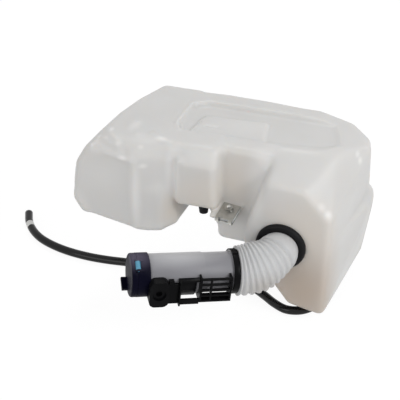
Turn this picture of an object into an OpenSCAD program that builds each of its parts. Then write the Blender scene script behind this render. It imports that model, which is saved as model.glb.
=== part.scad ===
// Vehicle washer fluid reservoir: a blow-moulded two-lobed tank with a bolt-access groove, a bellows
// filler neck with a flip-lid cap, a feed pump behind the deep lobe and a rubber delivery hose.
// Frame: +Z up, +X along the tank towards the deep lobe, +Y away from the filler side.
// The origin is the middle of the clip nut's thread at the foot of the groove. Millimetres.

/* [Tank] */
// Wall of the blown shell
wall = 3; // [2:0.5:5]
// Outer radius of the shell's edges
edge_r = 9; // [7:0.5:12]
// Height of the top plate above the clip nut
tank_top = 84; // [76:1:96]
// Rear face of the tank
tank_back = 151; // [140:1:165]
// Front face of the deep lobe
deep_face = -14; // [-18:1:-10]
// Underside of the deep lobe
deep_bottom = -139; // [-145:1:-128]
// Right side of the deep lobe at its front face
deep_right = 141; // [132:1:150]
// How much wider the deep lobe is at the back
deep_splay = 25; // [16:1:30]
// Front face of the shallow lobe
shallow_face = -26; // [-32:1:-20]
// Underside of the shallow lobe
shallow_bottom = -47; // [-54:1:-40]
// Left end of the shallow lobe
shallow_left = -212; // [-226:1:-204]
// Front face of the block between the lobes
block_face = -10; // [-14:1:-7]
// Underside of the block and the bridge
bridge_bottom = -4; // [-8:1:4]
// Floor of the bolt-access groove
groove_floor = 15; // [12:1:20]
// Depth of the recess in the top plate
recess_depth = 7; // [4:0.5:10]
// Height of the raised pad in the recess
pad_h = 4; // [2:0.5:6]

/* [Clip nut and lug] */
// Slope of the lug towards the front
lug_tilt = 15; // [5:1:25]
// Turn of the lug towards the shallow lobe
lug_turn = 9; // [0:1:12]
// Thickness of the lug
lug_t = 4; // [3:0.5:6]
// Width of the clip nut
clip_w = 24; // [20:1:28]
// Reach of the clip nut from its bend to its rear edge
clip_reach = 27; // [24:1:28]
// Sheet thickness of the clip nut
clip_t = 1.5; // [1:0.1:2]
// Radius of the clip nut's thread
thread_r = 3.4; // [2.5:0.1:4.2]
// Length of the threaded collar
collar_h = 4.8; // [4:0.1:6]

/* [Filler neck] */
// Radius of the neck hole in the tank
neck_hole_r = 28; // [26:0.5:30]
// Outer radius of the neck grommet
neck_flange_r = 33.5; // [33:0.5:37]
// Radius of the bellows spigot in the grommet
spigot_r = 23; // [21:0.5:24]
// Number of corrugations
folds = 9; // [6:1:10]
// Depth of a corrugation
fold_h = 2.5; // [2:0.5:4]
// Radius of the bellows' smooth end, next to the grommet
dome_r = 27.5; // [26:0.5:29]
// Largest radius of the folds
belly_r = 34; // [32:0.5:36]
// Wall of the bellows
bellows_wall = 1.6; // [1.2:0.1:2]
// Outer radius of the filler tube
tube_r = 25.5; // [24:0.5:27]
// Wall of the filler tube
tube_wall = 2.4; // [1.8:0.1:3]
// Length of the filler tube from the tie to its mouth
tube_len = 120; // [114:1:130]
// Width of the tie round the bellows cuff
tie_w = 8; // [6:0.5:9]

/* [Cap] */
// Wall of the collar on the tube's mouth
cap_wall = 1.65; // [1.2:0.05:2.5]
// Height of the collar on the tube's mouth
cap_collar_h = 15.5; // [13:0.5:18]
// Height of the lid
lid_h = 7.5; // [6.5:0.1:10]
// Length of the hinge barrel
barrel_len = 11; // [9:0.2:13]

/* [Bracket] */
// Turn of the bracket round the tube
bracket_turn = 90; // [75:1:100]
// Length of the bracket's slotted block along the tube
grid_len = 41; // [34:1:44]
// Length of the bracket's open window along the tube
window_len = 24; // [18:1:26]
// Length of the bracket's bolt block along the tube
bolt_len = 25; // [22:1:27]
// Height of the bracket's face
bracket_w = 35; // [32:1:40]
// Height of the bracket's bolt block
bolt_h = 37; // [33:1:40]
// Depth of the bracket off the tube
bracket_depth = 8; // [7:0.5:11]
// Radius of the bracket's bolt hole
bracket_hole_r = 4.2; // [3:0.1:5]

/* [Pump and hose] */
// Radius of the pump housing
pump_r = 14; // [12:0.5:16]
// Height of the pump housing
pump_h = 78; // [70:1:90]
// Radius of the pump's inlet spigot
inlet_r = 7; // [6:0.5:8]
// Radius of the pump's outlet spigot
outlet_r = 4; // [3:0.1:4.8]
// Outer radius of the delivery hose
hose_r = 6; // [5:0.1:7]

/* [Hidden] */
$fn = 64;
eps = 0.01;
// Clearance between pieces that are pushed together
fit = 0.1;
// Running clearance of the lid's trunnions
running = 0.06;

// Centres of the edge spheres on the shell's main faces
top_z = tank_top - edge_r;
back_y = tank_back - edge_r;
rear_y = back_y - 8;
bowed_y = back_y + 6;
deep_y = deep_face + edge_r;
deep_x = deep_right - edge_r;
deep_z = deep_bottom + edge_r;
splay_x = deep_x + deep_splay;
shallow_y = shallow_face + edge_r;
shallow_x = shallow_left + edge_r;
shallow_z = shallow_bottom + edge_r;
block_y = block_face + edge_r;
bridge_z = bridge_bottom + edge_r;
floor_y = groove_floor + edge_r;
soft_fn = 20;

// Neck, tube and cap axis
neck = [75, deep_face, -34];
tie_at = neck + [-48.5, -58, -11];
tube_turn = 210;
tube_rise = 6;
tube_dir = [cos(tube_turn) * cos(tube_rise), sin(tube_turn) * cos(tube_rise), sin(tube_rise)];
grommet_out = 6;
grommet_in = 4;
spigot_in = 9;
cuff_len = 5;
sides = 24;
cuff_in_r = (tube_r + fit) / cos(180 / sides);
cuff_out_r = cuff_in_r + bellows_wall;
tie_in_r = cuff_out_r + fit;
tie_t = 1.5;
latch_w = 8;
latch_h = 3;
tube_step = 42;
tube_swell = 0.8;
tube_in = 8;
mouth_r = tube_r + tube_swell;
cap_bore_r = mouth_r + fit / 2;
cap_r = cap_bore_r + cap_wall;
bore_r = tube_r - tube_wall;

// Bellows: a smooth dome next to the grommet, then the folds, then the cuff under the tie
neck_out = neck + [0, -grommet_out - 1, 0];
cuff_at = tie_at - cuff_len * tube_dir;
cuff_past = 3.5;
bellows_path = [neck_out, neck_out + [0, -26, 0], cuff_at - 26 * tube_dir, cuff_at];
dome_start_r = spigot_r + 2;
dome_share = 0.15;
dome_steps = 3;
fold_steps = 4;
belly_share = 0.6;
last_crest_r = belly_r - 1.5;

// Lid hinge, in the tube's own frame, opposite the thumb lug
hinge_turn = 150;
hinge_out = cap_r - 0.8;
barrel_r = 3.2;
trunnion_r = 1.5;
trunnion_len = 2.2;
ear_t = 2.6;
ear_r = 3;
lid_gap = 0.3;
lip_h = 6;
seat_z = tube_len + lip_h;
lid_base = seat_z + lid_gap;
lid_r = cap_r - 0.2;
lid_skirt = 3;
lid_plate = 3;
seal_t = 3.5;
seal_w = 6;

// Clip nut stack across the lug
plate_top = -collar_h / 2;
plate_under = plate_top - clip_t;
lug_top = plate_under - fit;
lug_under = lug_top - lug_t;
lower_top = lug_under - fit;
lower_under = lower_top - clip_t;
stack_mid = (plate_top + lower_under) / 2;
stack_r = (plate_top - lower_under) / 2;
lug_front = -17;
lug_left = -22;
lug_hole_r = 6;

// Locating buffer under the block
buffer_at = [-37, 6];
buffer_len = 13;
peg_r = 4;
peg_len = 8;

// Pump behind the deep lobe
inlet_at = [115, rear_y + edge_r, deep_bottom + 35];
inlet_hole_r = inlet_r + 4;
inlet_in = 2 * wall + 5;
pump_gap = 6;
pump_y = inlet_at[1] + pump_gap + pump_r;
outlet_out = 3;
outlet_z = deep_bottom - 9;
pump_foot = outlet_z - 7;
hose_start = [inlet_at[0], pump_y - pump_r - outlet_out, outlet_z];
hose_sides = 10;

// The hose lies level under the deep lobe, turns left in front of it and ends with a lazy curve at the left
hose_route = [
    hose_start,
    [115, 125, outlet_z], [118, 98, outlet_z], [122, 72, outlet_z], [124, 46, outlet_z],
    [119, 21, outlet_z], [104, 4, outlet_z], [84, -1, outlet_z], [65, 7, outlet_z], [48, 19, outlet_z],
    [29, 31, outlet_z], [5, 40, outlet_z], [-25, 45, outlet_z], [-65, 44, outlet_z], [-105, 40, outlet_z],
    [-140, 35, outlet_z], [-165, 32, outlet_z], [-190, 29, outlet_z], [-217, 28, outlet_z],
    [-245, 30, outlet_z], [-270, 35, outlet_z], [-293, 43, outlet_z], [-311, 53, outlet_z],
    [-327, 67, outlet_z], [-340, 84, outlet_z], [-350, 104, outlet_z]
];

function unit(v) = v / norm(v);
function smooth(t) = t * t * (3 - 2 * t);

// Point and direction on a cubic curve
function curve(p, t) =
    p[0] * pow(1 - t, 3) + 3 * p[1] * t * pow(1 - t, 2) + 3 * p[2] * t * t * (1 - t) + p[3] * pow(t, 3);
function curve_dir(p, t) =
    unit((p[1] - p[0]) * pow(1 - t, 2) + 2 * (p[2] - p[1]) * t * (1 - t) + (p[3] - p[2]) * t * t);

// A circle of points round a centre, square to a direction
function ring(at, dir, r, n) =
    let (side = unit(cross(dir, [0, 0, 1])), up = cross(side, dir))
    [for (k = [0 : n - 1]) at + r * (cos(360 * k / n) * side + sin(360 * k / n) * up)];

// Quads between neighbouring rings; a closed list of rings joins its last ring to its first
function skin(rings, n, closed) =
    let (last = closed ? rings - 1 : rings - 2)
    [for (i = [0 : last], k = [0 : n - 1])
        let (j = (i + 1) % rings, m = (k + 1) % n)
        [i * n + k, i * n + m, j * n + m, j * n + k]];

// Radius of the bellows' dome at a share of the path, and of the folds' crests from the dome to the cuff
function dome_ring_r(t) = dome_start_r + (dome_r - dome_start_r) * sin(90 * t / dome_share);
function crest_r(u) =
    u < belly_share
        ? dome_r + (belly_r - dome_r) * smooth(u / belly_share)
        : belly_r + (last_crest_r - belly_r) * smooth((u - belly_share) / (1 - belly_share));

// Rings of the bellows' outside, or of its inside when thinned by the wall
function bellows_rings(thin) = [
    ring(neck + [0, spigot_in, 0], [0, -1, 0], spigot_r - thin, sides),
    ring(neck - [0, grommet_out + fit, 0], [0, -1, 0], spigot_r - thin, sides),
    for (i = [0 : dome_steps - 1])
        let (t = dome_share * i / dome_steps)
        ring(curve(bellows_path, t), curve_dir(bellows_path, t), dome_ring_r(t) - thin, sides),
    for (i = [0 : folds * fold_steps - 1])
        let (
            u = i / (folds * fold_steps),
            t = dome_share + (1 - dome_share) * u,
            dip = fold_h * (0.5 - 0.5 * cos(360 * i / fold_steps))
        )
        ring(curve(bellows_path, t), curve_dir(bellows_path, t), crest_r(u) - dip - thin, sides),
    ring(cuff_at, tube_dir, cuff_out_r - thin, sides),
    ring(tie_at + cuff_past * tube_dir, tube_dir, cuff_out_r - thin, sides)
];

// A convex body with softened edges from the centres of its corner spheres
module soft(centres, r) {
    hull()
        for (c = centres)
            translate(c)
                sphere(r, $fn = soft_fn);
}

// The tank's outer form drawn in by a distance, so that the same centres give the shell's inside
module tank_form(inset) {
    r = edge_r - inset;
    difference() {
        union() {
            deep_upper(r);
            deep_lower(r);
            sump_shoulder(r);
            bridge(r);
            middle_block(r);
            block_web(r);
            lug_root(r - 2);
            shallow_upper(r);
            shallow_foot(r);
        }
        top_recess(edge_r + inset);
    }
}

// Upper half of the deep lobe, with the sloping shoulder over its front face
module deep_upper(r) {
    soft([
        [56, deep_y, 49], [98, deep_y, 48], [deep_x, deep_y, 12],
        [35, deep_y, -12], [30, deep_y, -40], [deep_x, deep_y, -30],
        [62, 45, top_z], [124, 45, top_z], [splay_x - 1, 92, top_z - 8], [splay_x - 5, 110, top_z - 10],
        [129, back_y - 14, top_z - 3], [84, back_y, top_z], [54, back_y, top_z],
        [splay_x - 1, 112, -20], [140, back_y, -20], [40, back_y, -30]
    ], r);
}

// Lower half of the deep lobe, a sump that bulges past the upper half at the right
module deep_lower(r) {
    soft([
        [30, deep_y, -40], [92, deep_y, deep_z + 8], [deep_x - 3, deep_y, deep_z], [deep_x, deep_y, -30],
        [splay_x + 7, 106, -16], [splay_x + 4, rear_y, -18],
        [splay_x - 8, rear_y, deep_z + 10], [95, rear_y, deep_z + 10], [40, rear_y, -40]
    ], r);
}

// Shoulder of the sump under the lug
module sump_shoulder(r) {
    soft([
        [-14, floor_y, 10], [-13, floor_y, -55], [40, floor_y, -57], [40, floor_y, -10],
        [-13, rear_y, -53], [40, rear_y, -55], [-14, rear_y, 10], [20, floor_y, 20], [20, rear_y, 20]
    ], r);
}

// Bridge that joins the lobes behind the groove
module bridge(r) {
    soft([
        for (y = [floor_y, back_y], z = [bridge_z, top_z]) [-110, y, z],
        for (y = [floor_y, back_y]) [60, y, bridge_z],
        [34, floor_y, top_z - 2], [50, floor_y + 14, top_z - 3], [60, back_y, top_z],
        [-46, bowed_y, top_z], [12, bowed_y - 2, top_z]
    ], r);
}

// Block in front of the bridge, between the shallow lobe and the groove
module middle_block(r) {
    soft([
        [-60, block_y, bridge_z], [-24, block_y, bridge_z],
        [-58, block_y, top_z - 16], [-25, block_y, top_z - 16],
        [-57, block_y + 7, top_z], [-24, block_y + 7, top_z], [-60, 50, bridge_z], [-19, 50, bridge_z],
        [-57, 50, top_z], [-19, 50, top_z]
    ], r);
}

// Shallow valley between the block and the shallow lobe
module block_web(r) {
    soft([
        for (x = [-98, -54], y = [block_y + 6, 50], z = [bridge_z + 4, top_z]) [x, y, z]
    ], r);
}

// Swelling that carries the lug, from the block's corner down to the sump's shoulder
module lug_root(r) {
    soft([
        [-22, 6, -6], [-22, floor_y + 8, -6], [-16, floor_y, -42], [-16, floor_y + 20, -42]
    ], r);
}

// Upper part of the shallow lobe, with faceted corners at the left
module shallow_upper(r) {
    soft([
        [-186, shallow_y, top_z - 10], [-160, shallow_y, top_z - 8], [-121, shallow_y, top_z - 9],
        [-94, shallow_y + 13, top_z - 12], [-80, shallow_y + 21, top_z - 12], [-80, shallow_y + 21, 10],
        [shallow_x + 5, shallow_y, 42], [shallow_x + 1, shallow_y, 14], [shallow_x, shallow_y, -10],
        [shallow_x + 8, shallow_y, shallow_z + 15],
        [shallow_x + 6, 60, 10], [shallow_x + 26, 118, 10],
        [shallow_x + 12, 60, shallow_z + 10], [shallow_x + 32, 118, shallow_z + 10],
        [-118, shallow_y, shallow_z], [-93, shallow_y + 13, shallow_z], [-92, back_y - 6, shallow_z + 4],
        [-138, bowed_y, top_z], [-156, 104, top_z], [-167, 60, top_z], [-174, 8, top_z - 1],
        [-158, -7, top_z], [-121, -8, top_z], [-88, 5, top_z], [-88, bowed_y, top_z]
    ], r);
}

// Foot of the shallow lobe, which stands out to the right under a ledge
module shallow_foot(r) {
    soft([
        for (z = [shallow_z, 17])
            each [
                [-119, shallow_y, z], [-95, shallow_y + 7, z], [-82, 6, z + 2], [-78, 50, z + 4],
                [-83, back_y - 8, z + 3], [-130, back_y - 8, z + 4]
            ]
    ], r);
}

// Recess in the top plate, open towards the deep lobe
module top_recess(r) {
    sunk_z = tank_top - recess_depth + edge_r;
    soft([
        [-76, 49, sunk_z], [-81, 62, sunk_z], [-78, 108, sunk_z], [-64, 116, sunk_z],
        [60, 116, sunk_z], [108, 110, sunk_z + 3], [124, 68, sunk_z + 3], [100, 54, sunk_z + 1]
    ], r);
}

// Raised pad in the recess, with a shallow slot at its left
module recess_pad() {
    pad_r = 4;
    pad_z = tank_top - recess_depth + pad_h - pad_r;
    slot = [22, 6, 3];
    slot_depth = 1.5;
    difference() {
        soft([[-67, 39, pad_z], [-59, 88, pad_z], [22, 94, pad_z], [30, 42, pad_z]], pad_r);
        translate([-55, 60, pad_z + pad_r - slot_depth])
            cube(slot);
    }
}

// Lug at the foot of the groove that carries the clip nut
module clip_lug() {
    rotate([lug_tilt, 0, -lug_turn])
        difference() {
            translate([lug_left, lug_front, lug_under])
                cube([clip_w / 2 + 1 - lug_left, floor_y - lug_front, lug_t]);
            translate([0, 0, lug_under - eps])
                cylinder(h = lug_t + 2 * eps, r = lug_hole_r);
        }
}

// Blown shell: outer form less its inside, with the lug, the buffer's peg and the two holes
module tank() {
    color("whitesmoke")
        difference() {
            union() {
                tank_form(0);
                recess_pad();
                clip_lug();
                translate([buffer_at[0], buffer_at[1], bridge_bottom - peg_len])
                    cylinder(h = peg_len + wall, r = peg_r);
            }
            tank_form(wall);
            translate(neck + [0, -edge_r, 0])
                rotate([-90, 0, 0])
                    cylinder(h = 2 * edge_r + wall, r = neck_hole_r);
            translate(inlet_at - [0, 2 * wall, 0])
                rotate([-90, 0, 0])
                    cylinder(h = 4 * wall, r = inlet_hole_r);
        }
}

// Rubber ring that grips the wall round the neck hole
module neck_grommet() {
    lip = 3;
    color("#1b1b1d")
        translate(neck)
            rotate([90, 0, 0])
                rotate_extrude() {
                    translate([spigot_r + fit, fit])
                        square([neck_flange_r - spigot_r - lip, grommet_out - fit]);
                    translate([neck_flange_r - lip, fit])
                        square([lip, grommet_out - lip]);
                    translate([neck_flange_r - lip, grommet_out - lip + fit])
                        intersection() {
                            circle(lip - fit);
                            square(lip);
                        }
                    translate([spigot_r + fit, -wall - grommet_in])
                        square([neck_hole_r - spigot_r - 2 * fit, wall + grommet_in + 2 * fit]);
                    translate([spigot_r + fit, -wall - grommet_in])
                        square([neck_hole_r + lip - spigot_r, grommet_in - fit]);
                }
}

// Corrugated neck, one closed skin: out along the dome and the folds, back along their inside
module filler_bellows() {
    outer = bellows_rings(0);
    inner = bellows_rings(bellows_wall);
    count = len(outer);
    rings = concat(outer, [for (i = [count - 1 : -1 : 0]) inner[i]]);
    color("gainsboro")
        polyhedron([for (r = rings) each r], skin(2 * count, sides, true), convexity = 8);
}

// Carries a piece into the tube's frame: +Z along the tube from the tie to the mouth, +X roughly down
module on_tube() {
    translate(tie_at)
        rotate([0, 90 - tube_rise, tube_turn])
            children();
}

// A plain ring from its radii and its span along the axis
module collar(r_in, r_out, z0, z1) {
    translate([0, 0, z0])
        difference() {
            cylinder(h = z1 - z0, r = r_out);
            translate([0, 0, -eps])
                cylinder(h = z1 - z0 + 2 * eps, r = r_in);
        }
}

// Tie round the cuff, with its latch at the top
module bellows_tie() {
    color("#202022")
        on_tube()
            difference() {
                union() {
                    collar(tie_in_r, tie_in_r + tie_t, -tie_w / 2, tie_w / 2);
                    translate([-tie_in_r - latch_h, -latch_w / 2, -tie_w / 2])
                        cube([latch_h + tie_t, latch_w, tie_w]);
                }
                translate([0, 0, -tie_w])
                    cylinder(h = 2 * tie_w, r = tie_in_r);
            }
}

// Filler tube, a little wider past its step
module filler_tube() {
    step_len = 3;
    color("#c9c6d2")
        on_tube()
            difference() {
                union() {
                    translate([0, 0, -tube_in])
                        cylinder(h = tube_len + tube_in, r = tube_r);
                    translate([0, 0, tube_step])
                        cylinder(h = tube_len - tube_step, r = mouth_r);
                    translate([0, 0, tube_step - step_len])
                        cylinder(h = step_len, r1 = tube_r, r2 = mouth_r);
                }
                translate([0, 0, -2 * tube_in])
                    cylinder(h = tube_len + 4 * tube_in, r = bore_r);
            }
}

// Turns a piece so that +X points out at the hinge, with its origin on the hinge axis, which lies along Y
module at_hinge() {
    rotate([0, 0, hinge_turn])
        translate([hinge_out, 0, seat_z])
            children();
}

// A rod along the hinge axis
module hinge_rod(len, r) {
    at_hinge()
        rotate([90, 0, 0])
            cylinder(h = len, r = r, center = true);
}

// Collar on the tube's mouth: a skirt, a lip over the mouth and the two ears of the lid's hinge
module cap_collar() {
    ear_y = barrel_len / 2 + running;
    ear_foot = 7 - cap_collar_h;
    color("#20243a")
        on_tube()
            difference() {
                union() {
                    collar(cap_bore_r, cap_r, seat_z - cap_collar_h, tube_len + fit);
                    collar(bore_r, cap_r, tube_len + fit - eps, seat_z);
                    for (s = [-1, 1])
                        at_hinge()
                            translate([0, s * (ear_y + ear_t / 2), 0])
                                rotate([90, 0, 0])
                                    linear_extrude(ear_t, center = true) {
                                        circle(ear_r);
                                        polygon([[-ear_r, 0], [ear_r, 0], [0, ear_foot], [-ear_r, ear_foot]]);
                                    }
                }
                hinge_rod(2 * ear_y, barrel_r + lid_gap);
                hinge_rod(4 * barrel_len, trunnion_r + running);
                translate([0, 0, seat_z - cap_collar_h - eps])
                    cylinder(h = cap_collar_h - lip_h + fit, r = cap_bore_r);
            }
}

// Flip lid: a shallow cup with a rounded rim, a thumb lug and a seat for the hinge barrel
module cap_lid() {
    rim = 2.5;
    lug_w = 17;
    lug_in = 3.5;
    lug_over = 1.5;
    lug_up = 6;
    lug_start = 1;
    ear_room = 2 * (barrel_len / 2 + ear_t + 2 * lid_gap);
    color("#20243a")
        on_tube()
            difference() {
                union() {
                    translate([0, 0, lid_base])
                        rotate_extrude()
                            difference() {
                                union() {
                                    square([lid_r, lid_h - rim]);
                                    square([lid_r - rim, lid_h]);
                                    translate([lid_r - rim, lid_h - rim])
                                        intersection() {
                                            circle(rim);
                                            square(rim);
                                        }
                                }
                                translate([0, -eps])
                                    square([lid_r - lid_skirt, lid_h - lid_plate + eps]);
                            }
                    rotate([0, 0, hinge_turn + 180])
                        translate([lid_r - lug_in, -lug_w / 2, lid_base + lug_start])
                            cube([lug_in + lug_over, lug_w, lid_h - lug_start + lug_up]);
                }
                hinge_rod(ear_room, ear_r + lid_gap);
                hinge_rod(barrel_len + 2 * running, barrel_r + fit / 2);
            }
}

// Barrel of the hinge, with a trunnion at each end
module hinge_barrel() {
    color("#8fb4dc")
        on_tube() {
            hinge_rod(barrel_len, barrel_r);
            hinge_rod(barrel_len + 2 * trunnion_len, trunnion_r);
        }
}

// Soft ring under the lid's plate
module cap_seal() {
    seal_top = lid_base + lid_h - lid_plate;
    color("#3a3a3e")
        on_tube()
            collar(bore_r - seal_w, hinge_out - barrel_r - lid_gap, seal_top - seal_t, seal_top);
}

// Carries a piece to the bracket's face: +X down along the face, +Y off the tube, +Z along the tube
module on_bracket() {
    rotate([0, 0, bracket_turn - 90])
        children();
}

// Black moulded bracket on the tube: a slotted block, an open window, a fin and a bolt block on one saddle
module tube_bracket() {
    face = mouth_r + bracket_depth;
    foot = 21.5;
    top = foot - bracket_w;
    bar = 2.4;
    rows = 4;
    grid_z = 8;
    plate_t = 3;
    window_z = grid_z + grid_len;
    shelf_in = 3;
    shelf_drop = 3.5;
    sill_in = 1;
    sill_h = 7.5;
    sill_t = 3;
    sill_drop = 3;
    saddle_t = 1.6;
    saddle_gap = 3.5;
    fin_z = window_z + window_len;
    fin_t = 2;
    fin_over = 4;
    neck_len = 15;
    neck_inset = 4;
    notch = [5, 6];
    notch_gap = 0.6;
    bolt_z = fin_z + neck_len;
    bolt_x = 6.5;
    counterbore_r = bracket_hole_r + 4.5;
    bolt_proud = 2;
    bolt_face = face + bolt_proud;
    counterbore_depth = 3;
    hole_floor = mouth_r + 2;
    collar_room = 0.5;
    slot_h = (bracket_w - (rows + 1) * bar) / rows;
    slots_len = grid_len - 3 * bar;
    wide = 0.68 * slots_len;
    narrow = slots_len - wide;
    color("#17181a")
        on_tube()
            difference() {
                on_bracket()
                    difference() {
                        union() {
                            translate([top, face - plate_t, grid_z])
                                cube([bracket_w, plate_t, grid_len]);
                            for (z = [grid_z, window_z - bar])
                                translate([top, 0, z])
                                    cube([bracket_w, face, bar]);
                            translate([foot - bar, 0, grid_z])
                                cube([bar, face, grid_len]);
                            translate([top + shelf_drop, 0, window_z - eps])
                                cube([bar, face - shelf_in, window_len + 2 * eps]);
                            translate([foot - sill_h + sill_drop, face - sill_in - sill_t, window_z - eps])
                                cube([sill_h, sill_t, window_len + 2 * eps]);
                            intersection() {
                                cylinder(h = fin_z + eps, r = mouth_r + fit + saddle_t);
                                translate([top + shelf_drop, 0, window_z + saddle_gap])
                                    cube([bracket_w - shelf_drop, face, window_len]);
                            }
                            translate([top + shelf_drop, 0, fin_z])
                                cube([bracket_w - shelf_drop + fin_over, face + sill_in, fin_t]);
                            translate([top + neck_inset, 0, fin_z + fin_t - eps])
                                cube([
                                    bracket_w - neck_inset + sill_drop, face - neck_inset,
                                    neck_len - fin_t + 2 * eps
                                ]);
                            translate([bolt_x, 0, bolt_z])
                                bolt_block(bolt_face);
                        }
                        for (row = [0 : rows - 1], cell = [[0, wide], [wide + bar, narrow]])
                            translate([top + bar + row * (slot_h + bar), 0, grid_z + bar + cell[0]])
                                cube([slot_h, 2 * face, cell[1]]);
                        translate([top + neck_inset - eps, 0, fin_z + fin_t + notch_gap])
                            cube([notch[0], 2 * face, notch[1]]);
                        translate([bolt_x, hole_floor, bolt_z + bolt_len / 2])
                            rotate([-90, 0, 0])
                                cylinder(h = face, r = bracket_hole_r);
                        translate([bolt_x, bolt_face - counterbore_depth, bolt_z + bolt_len / 2])
                            rotate([-90, 0, 0])
                                cylinder(h = 2 * counterbore_depth, r = counterbore_r);
                    }
                translate([0, 0, -eps])
                    cylinder(h = tube_len, r = mouth_r + fit);
                translate([0, 0, seat_z - cap_collar_h - collar_room])
                    cylinder(h = 2 * cap_collar_h, r = cap_r + collar_room);
            }
}

// Rounded block round the bracket's bolt hole, from the tube's axis out to the face
module bolt_block(face) {
    half = bolt_h / 2;
    round = 8;
    rotate([-90, 0, 0])
        linear_extrude(face)
            mirror([0, 1])
                translate([-half, 0])
                    offset(r = round, $fn = 32)
                        translate([round, round])
                            square([2 * half - 2 * round, bolt_len - 2 * round]);
}

// Sheet-steel U nut: two plates over the lug, joined by two straps round its front edge
module clip_nut() {
    bend_y = lug_front - fit;
    strap = 5;
    collar_r = thread_r + 2;
    lower_hole_r = thread_r + 1.4;
    color("silver")
        rotate([lug_tilt, 0, -lug_turn])
            difference() {
                union() {
                    for (z = [plate_under, lower_under])
                        translate([-clip_w / 2, bend_y - eps, z])
                            cube([clip_w, clip_reach, clip_t]);
                    translate([0, 0, plate_under])
                        cylinder(h = collar_h + clip_t, r = collar_r);
                    for (s = [-1, 1])
                        translate([s * (clip_w - strap) / 2, bend_y, stack_mid])
                            rotate([0, 90, 0])
                                intersection() {
                                    difference() {
                                        cylinder(h = strap, r = stack_r, center = true);
                                        cylinder(h = strap + 1, r = stack_r - clip_t, center = true);
                                    }
                                    translate([-2 * stack_r, -4 * stack_r, -strap])
                                        cube([4 * stack_r, 4 * stack_r, 2 * strap]);
                                }
                }
                translate([0, 0, plate_under - 1])
                    cylinder(h = collar_h + clip_t + 2, r = thread_r);
                translate([0, 0, lower_under - 1])
                    cylinder(h = clip_t + 2, r = lower_hole_r);
            }
}

// Tapered rubber boot on the peg under the block
module locating_buffer() {
    top_r = 7.3;
    tip_r = 5.8;
    color("#1d1d1f")
        translate([buffer_at[0], buffer_at[1], bridge_bottom - buffer_len])
            difference() {
                cylinder(h = buffer_len, r1 = tip_r, r2 = top_r);
                translate([0, 0, buffer_len - peg_len - 1])
                    cylinder(h = peg_len + 2, r = peg_r + fit);
            }
}

// Rubber ring that seals the pump's inlet in the rear wall
module pump_grommet() {
    flange_in = 3;
    flange_out = 4;
    flange_w = 3;
    color("#1b1b1d")
        translate(inlet_at)
            rotate([-90, 0, 0])
                difference() {
                    union() {
                        translate([0, 0, -wall - flange_in])
                            cylinder(h = flange_in - fit, r = inlet_hole_r + flange_w);
                        translate([0, 0, -wall - 2 * fit])
                            cylinder(h = wall + 4 * fit, r = inlet_hole_r - fit);
                        translate([0, 0, fit])
                            cylinder(h = flange_out, r = inlet_hole_r + flange_w);
                    }
                    translate([0, 0, -3 * wall])
                        cylinder(h = 6 * wall, r = inlet_r + fit);
                }
}

// Pump housing that stands behind the deep lobe, with its inlet and outlet spigots
module pump_housing() {
    spigot_len = pump_y - inlet_at[1] + inlet_in;
    rib_out = 1.5;
    rib_h = 3;
    inlet_wall = 2;
    outlet_wall = 1.4;
    color("#2a2b2e")
        difference() {
            union() {
                translate([inlet_at[0], pump_y, pump_foot])
                    cylinder(h = pump_h, r = pump_r);
                translate([inlet_at[0], pump_y, pump_foot + pump_h - 2 * rib_h])
                    cylinder(h = rib_h, r = pump_r + rib_out);
                translate([inlet_at[0], pump_y, inlet_at[2]])
                    rotate([90, 0, 0])
                        cylinder(h = spigot_len, r = inlet_r);
                translate([inlet_at[0], pump_y, outlet_z])
                    rotate([90, 0, 0])
                        cylinder(h = pump_r + outlet_out, r = outlet_r);
            }
            translate([inlet_at[0], pump_y, inlet_at[2]])
                rotate([90, 0, 0])
                    cylinder(h = spigot_len + 1, r = inlet_r - inlet_wall);
            translate([inlet_at[0], pump_y, outlet_z])
                rotate([90, 0, 0])
                    cylinder(h = pump_r + outlet_out + 1, r = outlet_r - outlet_wall);
        }
}

// Cover of the pump, with its two-pin plug socket
module pump_cover() {
    plate = 5;
    socket_w = 16;
    socket_d = 12;
    socket_h = 14;
    socket_wall = 2;
    socket_floor = 3;
    pin_w = 1;
    pin_d = 2.4;
    pin_h = 11;
    pin_x = 3;
    color("#3b3c40")
        translate([inlet_at[0], pump_y, pump_foot + pump_h]) {
            cylinder(h = plate, r = pump_r);
            translate([-socket_w / 2, -socket_d / 2, plate - eps])
                difference() {
                    cube([socket_w, socket_d, socket_h]);
                    translate([socket_wall, socket_wall, socket_floor])
                        cube([socket_w - 2 * socket_wall, socket_d - 2 * socket_wall, socket_h]);
                }
            for (s = [-1, 1])
                translate([s * pin_x - pin_w / 2, -pin_d / 2, plate])
                    cube([pin_w, pin_d, pin_h]);
        }
}

// Slotted cup over the end of the inlet spigot, inside the tank
module pump_strainer() {
    cup_r = inlet_r + 2.2;
    cup_len = 24;
    cup_end = 2;
    overlap = 4;
    slots = 8;
    slot_w = 2;
    slot_z = 9;
    start_y = inlet_at[1] - inlet_in + overlap;
    color("#d8d8d4")
        translate([inlet_at[0], start_y, inlet_at[2]])
            rotate([90, 0, 0])
                difference() {
                    cylinder(h = cup_len, r = cup_r);
                    translate([0, 0, -eps])
                        cylinder(h = cup_len - cup_end, r = inlet_r + fit);
                    for (k = [0 : slots - 1])
                        rotate([0, 0, 360 * (k + 0.5) / slots])
                            translate([0, -slot_w / 2, slot_z])
                                cube([2 * cup_r, slot_w, cup_len - slot_z - 2 * cup_end]);
                }
}

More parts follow.
